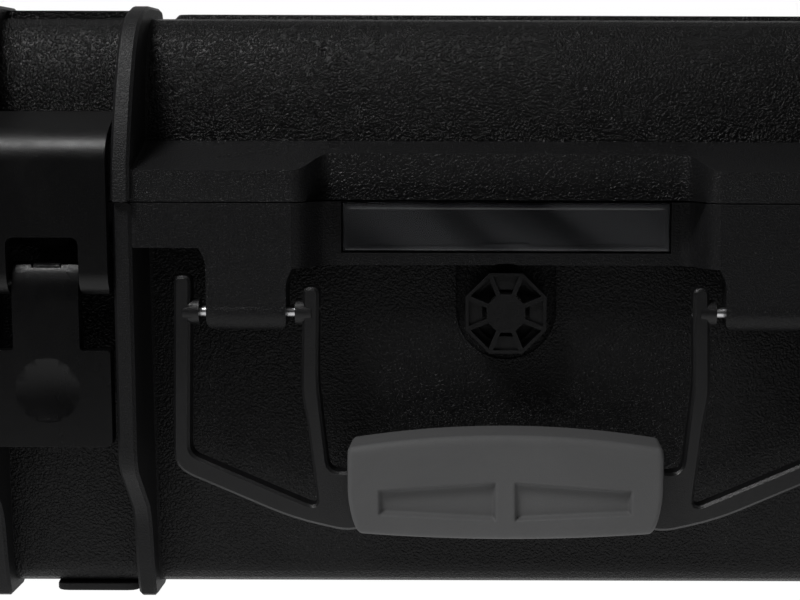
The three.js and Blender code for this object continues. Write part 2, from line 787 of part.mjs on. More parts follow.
// Side profile of the hook: its roof lies over the lid's catch and its legs end in eyes
function hookProfile() {
  const face = front(-hookProtrusion);
  const back = front(hookThickness - hookProtrusion);
  const foldZ = seamHeight + hookFoldHeight;
  const nose = hookThickness / 2;
  const inside = hookThickness - hookProtrusion + nose;
  const shape = new THREE.Shape();
  shape.moveTo(back, catchZ(0) - nose);
  shape.lineTo(back, bandBottom);
  shape.lineTo(front(linkInset + hookEyeRadius), linkZ + hookEyeRadius);
  shape.lineTo(front(linkInset + hookEyeRadius), linkZ);
  shape.absarc(front(linkInset), linkZ, hookEyeRadius, 0, -quarterTurn, true);
  shape.quadraticCurveTo(face, linkZ - hookEyeRadius, face, linkZ + hookEyeRadius);
  shape.lineTo(face, foldZ);
  shape.quadraticCurveTo(face, roofZ(-hookProtrusion), front(hookFoldReach), roofZ(hookFoldReach));
  shape.lineTo(front(hookReach - nose), roofZ(hookReach - nose));
  shape.quadraticCurveTo(front(hookReach), roofZ(hookReach), front(hookReach), roofZ(hookReach) - nose);
  shape.lineTo(front(hookReach), roofZ(hookReach) - roofDrop);
  shape.lineTo(front(inside), roofZ(inside) - roofDrop);
  shape.closePath();
  return shape;
}

function latchHook(side) {
  const x = side * latchX;
  const half = latchHalfWidth;
  const low = linkZ - hookEyeRadius;
  const high = roofZ(hookReach);
  let hook = profileAlongX(hookProfile(), x - half, x + half);
  const outline = cornered([
    [x - half, low, leverCorner], [x + half, low, leverCorner],
    [x + half, high, leverCorner], [x - half, high, leverCorner],
  ]);
  hook = hook.intersect(outlineAlongY(outline, front(-halfDepth), front(landInset)));
  const notch = cornered([
    [x - notchHalfWidth, low - overrun],
    [x + notchHalfWidth, low - overrun],
    [x + notchHalfWidth, seamHeight - notchDrop, leverCorner],
    [x - notchHalfWidth, seamHeight - notchDrop, leverCorner],
  ]);
  hook = hook.subtract(outlineAlongY(notch, front(-halfDepth), front(landInset)));
  return hook.subtract(pinHole(x, 2 * half, front(linkInset), linkZ, latchPinRadius));
}

// Side profile of the lever: eyes round both pins, then a flat plate
function leverProfile() {
  const face = front(-leverProtrusion);
  const back = front(leverThickness - leverProtrusion);
  const bottom = seamHeight - leverDrop;
  const top = pivotZ + eyeRadius;
  const shape = new THREE.Shape();
  shape.moveTo(face, top - leverRound);
  shape.quadraticCurveTo(face, top, front(pivotInset), top);
  shape.absarc(front(pivotInset), pivotZ, eyeRadius, quarterTurn, 0, true);
  shape.lineTo(front(linkInset + eyeRadius), linkZ);
  shape.absarc(front(linkInset), linkZ, eyeRadius, 0, -quarterTurn, true);
  shape.lineTo(back, linkZ - eyeRadius - leverThickness / 2);
  shape.lineTo(back, bottom);
  shape.lineTo(face, bottom);
  shape.closePath();
  return shape;
}

function latchLever(side) {
  const x = side * latchX;
  const half = leverHalfWidth;
  const bottom = seamHeight - leverDrop;
  const shoulder = seamHeight - shoulderDrop;
  const top = pivotZ + 2 * eyeRadius;
  let lever = profileAlongX(leverProfile(), x - half, x + half);
  const outline = cornered([
    [x - half, bottom, leverCorner], [x + half, bottom, leverCorner],
    [x + half, shoulder, leverCorner / 2], [x + tongueHalfWidth, shoulder, leverCorner / 2],
    [x + tongueHalfWidth, top], [x - tongueHalfWidth, top],
    [x - tongueHalfWidth, shoulder, leverCorner / 2], [x - half, shoulder, leverCorner / 2],
  ]);
  lever = lever.intersect(outlineAlongY(outline, front(-halfDepth), front(halfDepth)));
  const slotHalf = lugWidth / 2 + fitGap;
  lever = lever.subtract(box(x - slotHalf, x + slotHalf, front(tongueWall - leverProtrusion), front(halfDepth),
    linkZ - 2 * eyeRadius, top));
  const ball = (dimpleRadius ** 2 + dimpleDepth ** 2) / (2 * dimpleDepth);
  const dimple = new THREE.SphereGeometry(ball, 3 * roundSides, 2 * roundSides);
  dimple.rotateX(quarterTurn);
  dimple.translate(x, front(-leverProtrusion) + dimpleDepth - ball, seamHeight - dimpleDrop);
  lever = lever.subtract(solidOf(dimple));
  lever = lever.subtract(pinHole(x, 2 * tongueHalfWidth, front(pivotInset), pivotZ, latchPinRadius));
  return lever.subtract(pinHole(x, 2 * tongueHalfWidth, front(linkInset), linkZ, latchPinRadius));
}

function pin(x, length, y, z, radius) {
  return barAlongX(x - length / 2, x + length / 2, y, z, radius, smallSides);
}

const labelFloor = front(centreInset + labelRecess);

function labelCard() {
  const half = labelHalfWidth - cardMargin;
  const y1 = labelFloor - fitGap;
  return box(-half, half, y1 - cardThickness, y1, seamHeight - labelHeight + fitGap, baseTop - fitGap);
}

function labelCover() {
  const half = labelHalfWidth - fitGap;
  const y1 = labelFloor - 2 * fitGap - cardThickness;
  return box(-half, half, y1 - coverThickness, y1, seamHeight - labelHeight + fitGap, baseTop - fitGap);
}

function octagon(across) {
  const radius = across / 2 / Math.cos(Math.PI / 8);
  const shape = new THREE.Shape();
  for (let corner = 0; corner < 8; corner += 1) {
    const angle = ((corner + 1 / 2) * Math.PI) / 4;
    const point = [radius * Math.cos(angle), valveZ + radius * Math.sin(angle)];
    if (corner === 0) shape.moveTo(...point);
    else shape.lineTo(...point);
  }
  shape.closePath();
  return shape;
}

const valveSeatY = front(valveFloorInset) - fitGap;
const valveFlangeY = valveSeatY - valveFlangeThickness;
const valveCapBackY = valveFlangeY - fitGap;

const windowInner = hubRadius + spokeWidth / 2;
const windowOuter = valveAcross / 2 - capRim;

// One window between two spokes of the cap, an eighth of a turn wide, from the hub outwards
function spokeWindow(eighth, y0, y1, outer) {
  const inner = windowInner;
  const spread = Math.tan(Math.PI / 8);
  const inHalf = inner * spread - spokeWidth / 2;
  const outHalf = outer * spread - spokeWidth / 2;
  const turn = (eighth * Math.PI) / 4;
  const corners = [[inner, -inHalf], [outer, -outHalf], [outer, outHalf], [inner, inHalf]].map(([u, v]) => (
    [u * Math.cos(turn) - v * Math.sin(turn), valveZ + u * Math.sin(turn) + v * Math.cos(turn), 0]));
  return outlineAlongY(cornered(corners), y0, y1);
}

// The vented cap: an eight-sided cover with four open windows and four set-back plates, each
// with an open slot beside the hub
function valveCap() {
  const y0 = valveCapBackY - valveCapHeight;
  let cap = outlineAlongY(octagon(valveAcross), y0, valveCapBackY);
  cap = cap.subtract(barAlongY(y0 + capFrontThickness, valveCapBackY + overrun, 0, valveZ, capCavityRadius));
  for (let eighth = 0; eighth < 8; eighth += 1) {
    const open = eighth % 2 === 1;
    const deep = y0 + 2 * capFrontThickness;
    cap = cap.subtract(spokeWindow(eighth, y0 - overrun, open ? deep : y0 + capFrontThickness / 2, windowOuter));
    if (!open) cap = cap.subtract(spokeWindow(eighth, y0 - overrun, deep, windowInner + capSlot));
  }
  return cap;
}

function ringSolid(tube) {
  const geometry = new THREE.TorusGeometry(ringRadius, tube, 8, roundSides);
  geometry.rotateX(quarterTurn);
  geometry.translate(0, front(valveFloorInset) - fitGap - ringTube, valveZ);
  return solidOf(geometry);
}

function valveBody() {
  const end = valveSeatY + valveStemLength;
  const flange = barAlongY(valveFlangeY, valveSeatY, 0, valveZ, valveFlangeRadius, 2 * roundSides);
  const stem = barAlongY(valveSeatY - valveFlangeThickness / 2, end, 0, valveZ, valveStemRadius);
  const bore = barAlongY(valveFlangeY - overrun, end + overrun, 0, valveZ, valveBoreRadius, smallSides);
  const seat = barAlongY(valveFlangeY - overrun, valveFlangeY + membraneThickness + fitGap, 0, valveZ,
    membraneRadius + fitGap);
  return flange.add(stem).subtract(bore).subtract(seat).subtract(ringSolid(ringTube + fitGap));
}

function valveMembrane() {
  return barAlongY(valveFlangeY, valveFlangeY + membraneThickness, 0, valveZ, membraneRadius);
}

function valveNut() {
  const y0 = front(valvePadInset) + fitGap;
  const nut = barAlongY(y0, y0 + nutHeight, 0, valveZ, nutAcross / 2 / Math.cos(Math.PI / 6), 6);
  return nut.subtract(barAlongY(y0 - overrun, y0 + nutHeight + overrun, 0, valveZ, valveStemRadius + fitGap));
}

function foot(side, face) {
  const x = -face * side * footX;
  const y0 = front(footInset);
  const plan = cornered([
    [x - footLength / 2, y0, footRound],
    [x + footLength / 2, y0, footRound],
    [x + footLength / 2, y0 + footDepth, footRound],
    [x - footLength / 2, y0 + footDepth, footRound],
  ]);
  const pad = planAlongZ(plan, 0, floorClearance - fitGap, arcSteps);
  return face < 0 ? pad : turned(pad);
}

const finishes = {
  shell: { color: 0x17181a, roughness: 0.6, metalness: 0 },
  latch: { color: 0x141517, roughness: 0.42, metalness: 0 },
  frame: { color: 0x151618, roughness: 0.45, metalness: 0 },
  grip: { color: 0x4b4b4b, roughness: 0.7, metalness: 0 },
  rubber: { color: 0x101010, roughness: 0.85, metalness: 0 },
  steel: { color: 0xb8babd, roughness: 0.3, metalness: 1 },
  cover: { color: 0x2b2d30, roughness: 0.15, metalness: 0 },
  card: { color: 0x303236, roughness: 0.8, metalness: 0 },
};
const materials = Object.fromEntries(Object.entries(finishes).map(([name, finish]) => (
  [name, new THREE.MeshStandardMaterial(finish)])));

const assembly = new THREE.Group();

function place(name, solid, finish) {
  const mesh = new THREE.Mesh(geometryOf(solid), materials[finish]);
  mesh.name = name;
  assembly.add(mesh);
}

place('base_shell', baseShell(), 'shell');
place('lid_shell', lidShell(), 'shell');
place('lid_seal', lidSeal(), 'rubber');
place('handle_frame', handleFrame(), 'frame');
place('handle_grip', handleGrip(), 'grip');
place('label_card', labelCard(), 'card');
place('label_window', labelCover(), 'cover');
place('valve_cap', valveCap(), 'frame');
place('valve_body', valveBody(), 'frame');
place('valve_membrane', valveMembrane(), 'card');
place('valve_o_ring', ringSolid(ringTube), 'rubber');
place('valve_nut', valveNut(), 'frame');
for (const [hand, side] of [['left', -1], ['right', 1]]) {
  const x = side * latchX;
  const hingeY = halfDepth + hingeAxisOffset;
  const handlePinLength = bracketWidth + 2 * pinOverhang;
  place(`latch_hook_${hand}`, latchHook(side), 'latch');
  place(`latch_lever_${hand}`, latchLever(side), 'latch');
  place(`latch_base_pin_${hand}`, pin(x, 2 * tongueHalfWidth, front(pivotInset), pivotZ, latchPinRadius), 'steel');
  place(`latch_link_pin_${hand}`, pin(x, 2 * latchHalfWidth, front(linkInset), linkZ, latchPinRadius), 'steel');
  place(`handle_pin_${hand}`, pin(side * bracketX, handlePinLength, front(handleAxisInset), handleAxisZ,
    handlePinRadius), 'steel');
  place(`hinge_pin_${hand}`, pin(x, 2 * hingeHalfLength, hingeY, seamHeight, hingePinRadius), 'steel');
  place(`foot_front_${hand}`, foot(side, -1), 'rubber');
  place(`foot_rear_${hand}`, foot(side, 1), 'rubber');
}

// The origin is on the floor, under the middle of the part's own box
const bounds = new THREE.Box3().setFromObject(assembly);
const centre = bounds.getCenter(new THREE.Vector3());
assembly.position.set(-centre.x, -centre.y, -bounds.min.z);

export default assembly;
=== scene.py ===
import math

import bpy
import numpy as np
from mathutils import Matrix, Vector


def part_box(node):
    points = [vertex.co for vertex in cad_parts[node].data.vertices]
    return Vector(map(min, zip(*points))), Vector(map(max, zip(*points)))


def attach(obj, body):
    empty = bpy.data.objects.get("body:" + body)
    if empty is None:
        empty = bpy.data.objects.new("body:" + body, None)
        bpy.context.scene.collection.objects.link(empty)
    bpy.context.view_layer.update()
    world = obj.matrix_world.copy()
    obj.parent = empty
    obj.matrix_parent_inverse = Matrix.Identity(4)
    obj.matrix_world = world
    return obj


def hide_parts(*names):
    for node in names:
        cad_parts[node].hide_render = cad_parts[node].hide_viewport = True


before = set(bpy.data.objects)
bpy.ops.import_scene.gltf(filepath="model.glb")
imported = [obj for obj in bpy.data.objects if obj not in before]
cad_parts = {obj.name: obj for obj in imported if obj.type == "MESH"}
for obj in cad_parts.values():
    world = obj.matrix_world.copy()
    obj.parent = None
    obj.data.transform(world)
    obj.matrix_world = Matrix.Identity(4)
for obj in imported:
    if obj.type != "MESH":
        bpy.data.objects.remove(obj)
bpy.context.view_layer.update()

# Camera: it stands in front of the middle of the case, a little above it, and looks slightly
# down. The picture is a crop to the left of its axis, and its horizon leans a touch.
camera_place = Vector((0, -0.8031, 0.1939))
camera_pitch = math.radians(83)
camera_roll = math.radians(0.18)
eye = bpy.data.objects.new("camera", bpy.data.cameras.new("camera"))
eye.data.lens = 73.98
eye.data.sensor_width = 36
eye.data.shift_x = -0.1325
eye.matrix_world = (Matrix.Translation(camera_place) @ Matrix.Rotation(camera_pitch, 4, "X")
                    @ Matrix.Rotation(camera_roll, 4, "Z"))
bpy.context.collection.objects.link(eye)
bpy.context.scene.camera = eye


# Light: a soft box hangs high over the front left of the case and a wide one stands behind it.
# The floor gives the rest from below, from a painted pool of light that glows near the case. The
# room sheds a soft glow from high up and little from the level of the eye, so the black plastic
# keeps its depth.
def node(tree, kind, inputs=None, **settings):
    """One node of a tree, with its settings, and its inputs typed in or linked."""
    made = tree.nodes.new(kind)
    for name, value in settings.items():
        setattr(made, name, value)
    for name, value in (inputs or {}).items():
        if isinstance(value, bpy.types.NodeSocket):
            tree.links.new(value, made.inputs[name])
        else:
            made.inputs[name].default_value = value
    return made


def soft_box(name, place, aim, width, depth, power):
    """A rectangular area light that faces its aim."""
    lamp = bpy.data.lights.new(name, "AREA")
    lamp.shape = "RECTANGLE"
    lamp.size, lamp.size_y, lamp.energy = width, depth, power
    held = bpy.data.objects.new(name, lamp)
    held.location = place
    held.rotation_euler = (Vector(aim) - Vector(place)).to_track_quat("-Z", "Y").to_euler()
    held.visible_camera = False
    bpy.context.collection.objects.link(held)


soft_box("high_box", place=(-0.46, -0.66, 0.98), aim=(-0.10, -0.20, 0.16), width=0.30, depth=0.30,
         power=7.6)
soft_box("back_box", place=(0.2, 1.7, 0.75), aim=(0, 0, 0.15), width=2.4, depth=0.9, power=4)
low_glow, high_glow = 0.015, 0.18
low_rise, high_rise = 0.22, 0.50
room = bpy.data.worlds.new("room")
room.use_nodes = True
room_tree = room.node_tree
room_tree.nodes.clear()
seen = node(room_tree, "ShaderNodeLightPath").outputs["Is Camera Ray"]
way = node(room_tree, "ShaderNodeTexCoord").outputs["Generated"]
upward = node(room_tree, "ShaderNodeSeparateXYZ", {0: way}).outputs["Z"]
overhead = node(room_tree, "ShaderNodeMapRange", {
    "Value": upward, "From Min": low_rise, "From Max": high_rise, "To Min": low_glow, "To Max": high_glow,
}, interpolation_type="SMOOTHSTEP").outputs[0]
shed = node(room_tree, "ShaderNodeBackground", {"Color": (1, 1, 1, 1), "Strength": overhead})
shown = node(room_tree, "ShaderNodeBackground", {"Color": (1, 1, 1, 1), "Strength": 1.0})
either = node(room_tree, "ShaderNodeMixShader", {0: seen, 1: shed.outputs[0], 2: shown.outputs[0]})
node(room_tree, "ShaderNodeOutputWorld", {"Surface": either.outputs[0]})
bpy.context.scene.world = room
bpy.context.scene.view_settings.view_transform = "Standard"


# Floor: one plain sheet under the case, much wider than the view. The camera sees it pale all
# over. To other rays it is a painted pool of light: near the case it glows and its colour is
# painted bright, both fading to dark further off.
def piece_of(name, points, faces, material):
    """A mesh object at the origin from arrays of points and faces."""
    mesh = bpy.data.meshes.new(name)
    mesh.from_pydata(points.tolist(), [], faces.tolist())
    mesh.update()
    made = bpy.data.objects.new(name, mesh)
    mesh.materials.append(material)
    bpy.context.collection.objects.link(made)
    return made


def material_of(name, **sockets):
    """A material with its own Principled shader, and the values that are alike all over."""
    made = bpy.data.materials.new(name)
    made.use_nodes = True
    tree = made.node_tree
    shader = tree.nodes["Principled BSDF"]
    for label, value in sockets.items():
        shader.inputs[label.replace("_", " ")].default_value = value
    where = node(tree, "ShaderNodeTexCoord").outputs["Object"]
    return made, tree, shader, where


floor_paint, floor_tree, floor_shader, floor_where = material_of(
    "floor_paint", Roughness=0.8, Specular_IOR_Level=0.1)
floor_glow, seen_share = 1.15, 0.88
# Painted pool of light: the floor's glow and colour fall from bright near the case to dark further off.
painted_pool_near, painted_pool_far = 0.38, 0.70
painted_pool_bright, painted_pool_dark = 0.68, 0.02
glow = node(floor_tree, "ShaderNodeEmission", {"Color": (1, 1, 1, 1), "Strength": floor_glow})
looked_at = node(floor_tree, "ShaderNodeLightPath").outputs["Is Camera Ray"]
how_far = node(floor_tree, "ShaderNodeVectorMath", {0: floor_where}, operation="LENGTH").outputs["Value"]
painted_light_pool = node(floor_tree, "ShaderNodeMapRange", {
    "Value": how_far, "From Min": painted_pool_near, "From Max": painted_pool_far, "To Min": painted_pool_bright,
    "To Max": painted_pool_dark,
}, interpolation_type="SMOOTHSTEP").outputs[0]
floor_tree.links.new(painted_light_pool, floor_shader.inputs["Base Color"])
shown_white = node(floor_tree, "ShaderNodeMath", {0: looked_at, 1: seen_share},
                   operation="MULTIPLY").outputs[0]
# The camera sees the floor evenly white; other rays see the painted pool of light.
white_and_painted_glow_share = node(floor_tree, "ShaderNodeMath", {0: shown_white, 1: painted_light_pool},
              operation="MAXIMUM").outputs[0]
bright = node(floor_tree, "ShaderNodeMixShader", {
    0: white_and_painted_glow_share, 1: floor_shader.outputs[0], 2: glow.outputs[0]})
floor_tree.links.new(bright.outputs[0], floor_tree.nodes["Material Output"].inputs["Surface"])
floor_reach = 6.0
floor_corners = np.array([[-1, -1, 0], [1, -1, 0], [1, 1, 0], [-1, 1, 0]]) * floor_reach
floor = piece_of("floor", floor_corners, np.array([[0, 1, 2, 3]]), floor_paint)


# Shells: the base and the lid are injection moulded in black polypropylene. The walls are
# grained like leather, and the flange, the ribs and the brackets carry a finer satin grain. The
# ribs are duller than the rest. The grained walls are coloured darker than the satin parts as
# painted shade, for the grain's own small shadows and, on the base, the wall set back under the flange.
def shader_group(name, inputs, outputs):
    """An empty group with named sockets, and its two end nodes."""
    group = bpy.data.node_groups.new(name, "ShaderNodeTree")
    for label, kind, value in inputs:
        socket = group.interface.new_socket(label, in_out="INPUT", socket_type=kind)
        if value is not None:
            socket.default_value = value
    for label, kind in outputs:
        group.interface.new_socket(label, in_out="OUTPUT", socket_type=kind)
    return group, node(group, "NodeGroupInput").outputs, node(group, "NodeGroupOutput")


def sum_of(tree, operation, first, second=0.0, third=0.0):
    """One math node's result."""
    return node(tree, "ShaderNodeMath", {0: first, 1: second, 2: third}, operation=operation).outputs[0]


def ramp(tree, value, low, high, start=0.0, end=1.0):
    """A smooth step from start to end as the value goes from low to high."""
    return node(tree, "ShaderNodeMapRange", {
        "Value": value, "From Min": low, "From Max": high, "To Min": start, "To Max": end,
    }, interpolation_type="SMOOTHSTEP").outputs[0]


def leather_group():
    """Flat pebbles with narrow valleys: a step on a bent cell pattern, plus a share of finer noise."""
    bend_run, finer_scale, finer_share = 0.0012, 1.7, 0.45
    pebble_rim, valley_floor = 0.25, 0.68
    group, inside, ends = shader_group(
        "leather_grain",
        [("Vector", "NodeSocketVector", None), ("Pebbles per Metre", "NodeSocketFloat", 600.0)],
        [("Height", "NodeSocketFloat")])
    bend = node(group, "ShaderNodeTexNoise", {
        "Vector": inside["Vector"], "Scale": inside["Pebbles per Metre"], "Detail": 2.0})
    shift = node(group, "ShaderNodeVectorMath", {0: bend.outputs["Color"], "Scale": bend_run},
                 operation="SCALE").outputs[0]
    bent = node(group, "ShaderNodeVectorMath", {0: inside["Vector"], 1: shift}, operation="ADD").outputs[0]
    cells = node(group, "ShaderNodeTexVoronoi", {
        "Vector": bent, "Scale": inside["Pebbles per Metre"], "Smoothness": 0.35}, feature="SMOOTH_F1")
    finer = node(group, "ShaderNodeTexNoise", {
        "Vector": bent, "Scale": sum_of(group, "MULTIPLY", inside["Pebbles per Metre"], finer_scale),
        "Detail": 3.0, "Roughness": 0.6})
    pebble = ramp(group, cells.outputs["Distance"], pebble_rim, valley_floor, 1.0, 0.0)
    height = sum_of(group, "MULTIPLY_ADD", finer.outputs[0], finer_share, pebble)
    group.links.new(height, ends.inputs["Height"])
    return group


def marks_group():
    """Cloudy patches from handling, and fine dust in specks, both from 0 to 1."""
    group, inside, ends = shader_group(
        "handling_marks", [("Vector", "NodeSocketVector", None)],
        [("Cloud", "NodeSocketFloat"), ("Dust", "NodeSocketFloat")])
    cloud = node(group, "ShaderNodeTexNoise", {
        "Vector": inside["Vector"], "Scale": 22.0, "Detail": 5.0, "Roughness": 0.62, "Distortion": 0.6})
    specks = node(group, "ShaderNodeTexNoise", {
        "Vector": inside["Vector"], "Scale": 900.0, "Detail": 2.0, "Roughness": 0.7})
    group.links.new(ramp(group, cloud.outputs[0], 0.32, 0.70), ends.inputs["Cloud"])
    group.links.new(ramp(group, specks.outputs[0], 0.66, 0.78), ends.inputs["Dust"])
    return group


def rubbed_edge_group():
    """1 on a convex or concave edge, 0 on a flat face: how far a rounded normal turns away."""
    group, inside, ends = shader_group(
        "rubbed_edge", [("Width", "NodeSocketFloat", 0.0012)], [("Mask", "NodeSocketFloat")])
    round_normal = node(group, "ShaderNodeBevel", {"Radius": inside["Width"]}, samples=4).outputs[0]
    flat_normal = node(group, "ShaderNodeNewGeometry").outputs["Normal"]
    alike = node(group, "ShaderNodeVectorMath", {0: round_normal, 1: flat_normal},
                 operation="DOT_PRODUCT").outputs["Value"]
    group.links.new(ramp(group, alike, 0.995, 0.90), ends.inputs["Mask"])
    return group


leather_grain = leather_group()
handling_marks = marks_group()
rubbed_edge = rubbed_edge_group()


def placed(tree, group, **inputs):
    """The outputs of a group placed in a material, with its inputs typed in or linked."""
    made = node(tree, "ShaderNodeGroup", node_tree=group)
    for label, value in inputs.items():
        label = label.replace("_", " ")
        if isinstance(value, bpy.types.NodeSocket):
            tree.links.new(value, made.inputs[label])
        else:
            made.inputs[label].default_value = value
    return made.outputs


def mixed_colour(tree, share, first, second):
    """A colour between two colours, by a share from 0 to 1."""
    made = tree.nodes.new("ShaderNodeMix")
    made.data_type = "RGBA"
    tree.links.new(share, made.inputs[0])
    for place, colour in ((6, first), (7, second)):
        if isinstance(colour, bpy.types.NodeSocket):
            tree.links.new(colour, made.inputs[place])
        else:
            made.inputs[place].default_value = colour
    return made.outputs[2]


def finish_plastic(tree, shader, where, colour, worn_colour, rough, rough_spread, height, depth,
                   duller=0.0):
    """Wires colour, roughness and bump. Handling changes the gloss by the spread, edges are rubbed
    lighter and glossier, and duller, a number or a mask, is added to the roughness."""
    edge_width, edge_worn, edge_gloss, dust_seen = 0.0012, 0.5, -0.06, 0.35
    dust_grey = (0.017, 0.017, 0.017, 1)
    marks = placed(tree, handling_marks, Vector=where)
    edge = placed(tree, rubbed_edge, Width=edge_width)["Mask"]
    dust_share = sum_of(tree, "MULTIPLY", marks["Dust"], dust_seen)
    painted = mixed_colour(tree, dust_share, colour, dust_grey)
    edge_share = sum_of(tree, "MULTIPLY", edge, edge_worn)
    tree.links.new(mixed_colour(tree, edge_share, painted, worn_colour), shader.inputs["Base Color"])
    gloss = ramp(tree, marks["Cloud"], 0.0, 1.0, rough - rough_spread, rough + rough_spread)
    gloss = sum_of(tree, "ADD", gloss, duller)
    tree.links.new(sum_of(tree, "MULTIPLY_ADD", edge, edge_gloss, gloss), shader.inputs["Roughness"])
    bump = node(tree, "ShaderNodeBump", {"Height": height, "Strength": 1.0, "Distance": depth})
    tree.links.new(bump.outputs[0], shader.inputs["Normal"])


satin_black = (0.0095, 0.0095, 0.0100, 1)
# Painted shade: the grained walls take this darker colour in place of the grain's shadows.
grained_painted_shade_black = (0.0026, 0.0026, 0.0028, 1)
rubbed_black = (0.012, 0.012, 0.013, 1)
latch_x = 0.1678
rib_centre = 0.0288
rib_half = 0.0042
rib_dulled = 0.20
wall_pebbles, satin_pebbles = 1000.0, 1500.0
satin_share = 0.22
shell_grain_depth = 0.00036
shell_rough, shell_spread = 0.28, 0.02
sharp_angle = math.radians(34)


def shell_material(name, grained, level):
    """Shell plastic: grained(tree, x, y, z) says where the coarse grain and its painted shade lie, as 0 to
    1.
    """
    made, tree, shader, where = material_of(name, Specular_IOR_Level=level)
    axes = node(tree, "ShaderNodeSeparateXYZ", {0: where}).outputs
    across = sum_of(tree, "ABSOLUTE", axes["X"])
    from_latch = sum_of(tree, "ABSOLUTE", sum_of(tree, "SUBTRACT", across, latch_x))
    rib = sum_of(tree, "COMPARE", from_latch, rib_centre, rib_half)
    wall = grained(tree, across, axes["Y"], axes["Z"])
    coarse_grain_and_shade_share = sum_of(tree, "MULTIPLY", wall, sum_of(tree, "SUBTRACT", 1.0, rib))
    coarse = placed(tree, leather_grain, Vector=where, Pebbles_per_Metre=wall_pebbles)["Height"]
    fine = placed(tree, leather_grain, Vector=where, Pebbles_per_Metre=satin_pebbles)["Height"]
    faint = sum_of(tree, "MULTIPLY", fine, satin_share)
    strong = sum_of(tree, "MULTIPLY", coarse, coarse_grain_and_shade_share)
    height = sum_of(tree, "ADD", strong, faint)
    # Painted shade: the colour darkens where the coarse grain lies.
    colour = mixed_colour(tree, coarse_grain_and_shade_share, satin_black, grained_painted_shade_black)
    rib_dull = sum_of(tree, "MULTIPLY", rib, rib_dulled)
    finish_plastic(tree, shader, where, colour, rubbed_black, shell_rough, shell_spread, height,
                   shell_grain_depth, rib_dull)
    return made


def lid_grain_and_painted_shade(tree, across, y, z):
    """The lid's wall above the flange carries the full grain and painted shade, the middle of its band
    about a third.
    """
    flange_top, wall_start = 0.1765, 0.1785
    bay_end, bay_start, bay_grain = 0.0720, 0.0660, 0.35
    above = ramp(tree, z, flange_top, wall_start)
    middle = ramp(tree, across, bay_end, bay_start, 0.0, bay_grain)
    return sum_of(tree, "MAXIMUM", above, middle)


def base_grain_and_painted_shade(tree, across, y, z):
    """The base's wall under the flange, set back behind the brackets' faces, carries grain and painted
    shade, softer than the lid's.
    """
    flange_foot, wall_top = 0.1400, 0.1370
    middle_shift, bracket_plane, wall_plane = 0.0026, 0.1845, 0.1815
    wall_grain = 0.55
    below = ramp(tree, z, flange_foot, wall_top)
    depth = sum_of(tree, "ABSOLUTE", sum_of(tree, "ADD", y, middle_shift))
    inward = ramp(tree, depth, bracket_plane, wall_plane)
    return sum_of(tree, "MULTIPLY", sum_of(tree, "MULTIPLY", below, inward), wall_grain)


def smooth_group():
    """Shades faces smooth, and keeps edges sharp where two faces meet at more than the sharp angle."""
    group = bpy.data.node_groups.new("smooth_by_angle", "GeometryNodeTree")
    group.interface.new_socket("Geometry", in_out="INPUT", socket_type="NodeSocketGeometry")
    group.interface.new_socket("Geometry", in_out="OUTPUT", socket_type="NodeSocketGeometry")
    given = node(group, "NodeGroupInput").outputs[0]
    whole = node(group, "GeometryNodeSetShadeSmooth", {"Geometry": given, "Shade Smooth": True})
    angle = node(group, "GeometryNodeInputMeshEdgeAngle").outputs["Unsigned Angle"]
    wide = node(group, "FunctionNodeCompare", {0: angle, 1: sharp_angle}, data_type="FLOAT",
                operation="GREATER_THAN").outputs[0]
    kept = node(group, "GeometryNodeSetShadeSmooth", {
        "Geometry": whole.outputs[0], "Selection": wide, "Shade Smooth": False}, domain="EDGE")
    node(group, "NodeGroupOutput", {0: kept.outputs[0]})
    return group


smooth_by_angle = smooth_group()


def finish_moulding(name, material, round_edge, dissolved=True):
    """Gives a construction node its material, merged faces, rounded edges and smooth shading."""
    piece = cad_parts[name]
    if not piece.material_slots:
        piece.data.materials.append(None)
    for slot in piece.material_slots:
        slot.link = "OBJECT"
        slot.material = material
    weld = piece.modifiers.new("weld", "WELD")
    weld.merge_threshold = 0.00001
    if dissolved:
        flat = piece.modifiers.new("flat", "DECIMATE")
        flat.decimate_type = "DISSOLVE"
        flat.angle_limit = math.radians(0.4)
    if round_edge:
        bevel = piece.modifiers.new("round", "BEVEL")
        bevel.limit_method = "ANGLE"
        bevel.angle_limit = sharp_angle
        bevel.width = round_edge
        bevel.segments = 2
        bevel.use_clamp_overlap = True
        bevel.miter_outer = "MITER_ARC"
    smooth = piece.modifiers.new("smooth", "NODES")
    smooth.node_group = smooth_by_angle
    weighted = piece.modifiers.new("weighted", "WEIGHTED_NORMAL")
    weighted.keep_sharp = True


finish_moulding("lid_shell", shell_material("lid_plastic", lid_grain_and_painted_shade, level=0.25), round_edge=0.0008)
finish_moulding("base_shell", shell_material("base_plastic", base_grain_and_painted_shade, level=0.16), round_edge=0.0008)


# Latches: each is a hook plate and an over-centre lever in satin black plastic, which turn on
# steel pins. Both are smooth to the touch, and the lever is the darker and glossier of the two.
def satin_material(name, colour, rough, grain_depth, level):
    """Smooth moulded plastic with a very fine spark-eroded grain."""
    made, tree, shader, where = material_of(name, Specular_IOR_Level=level)
    fine = placed(tree, leather_grain, Vector=where, Pebbles_per_Metre=2300.0)["Height"]
    worn = tuple(2 * part for part in colour[:3]) + (1,)
    finish_plastic(tree, shader, where, colour, worn, rough, 0.05, fine, grain_depth)
    return made


hook_plastic = satin_material(
    "hook_plastic", (0.0032, 0.0032, 0.0034, 1), rough=0.34, grain_depth=0.00002, level=0.27)
lever_plastic = satin_material(
    "lever_plastic", (0.0026, 0.0026, 0.0028, 1), rough=0.30, grain_depth=0.00002, level=0.20)
for hand in ("left", "right"):
    finish_moulding(f"latch_hook_{hand}", hook_plastic, round_edge=0.0007)
    finish_moulding(f"latch_lever_{hand}", lever_plastic, round_edge=0.0007)


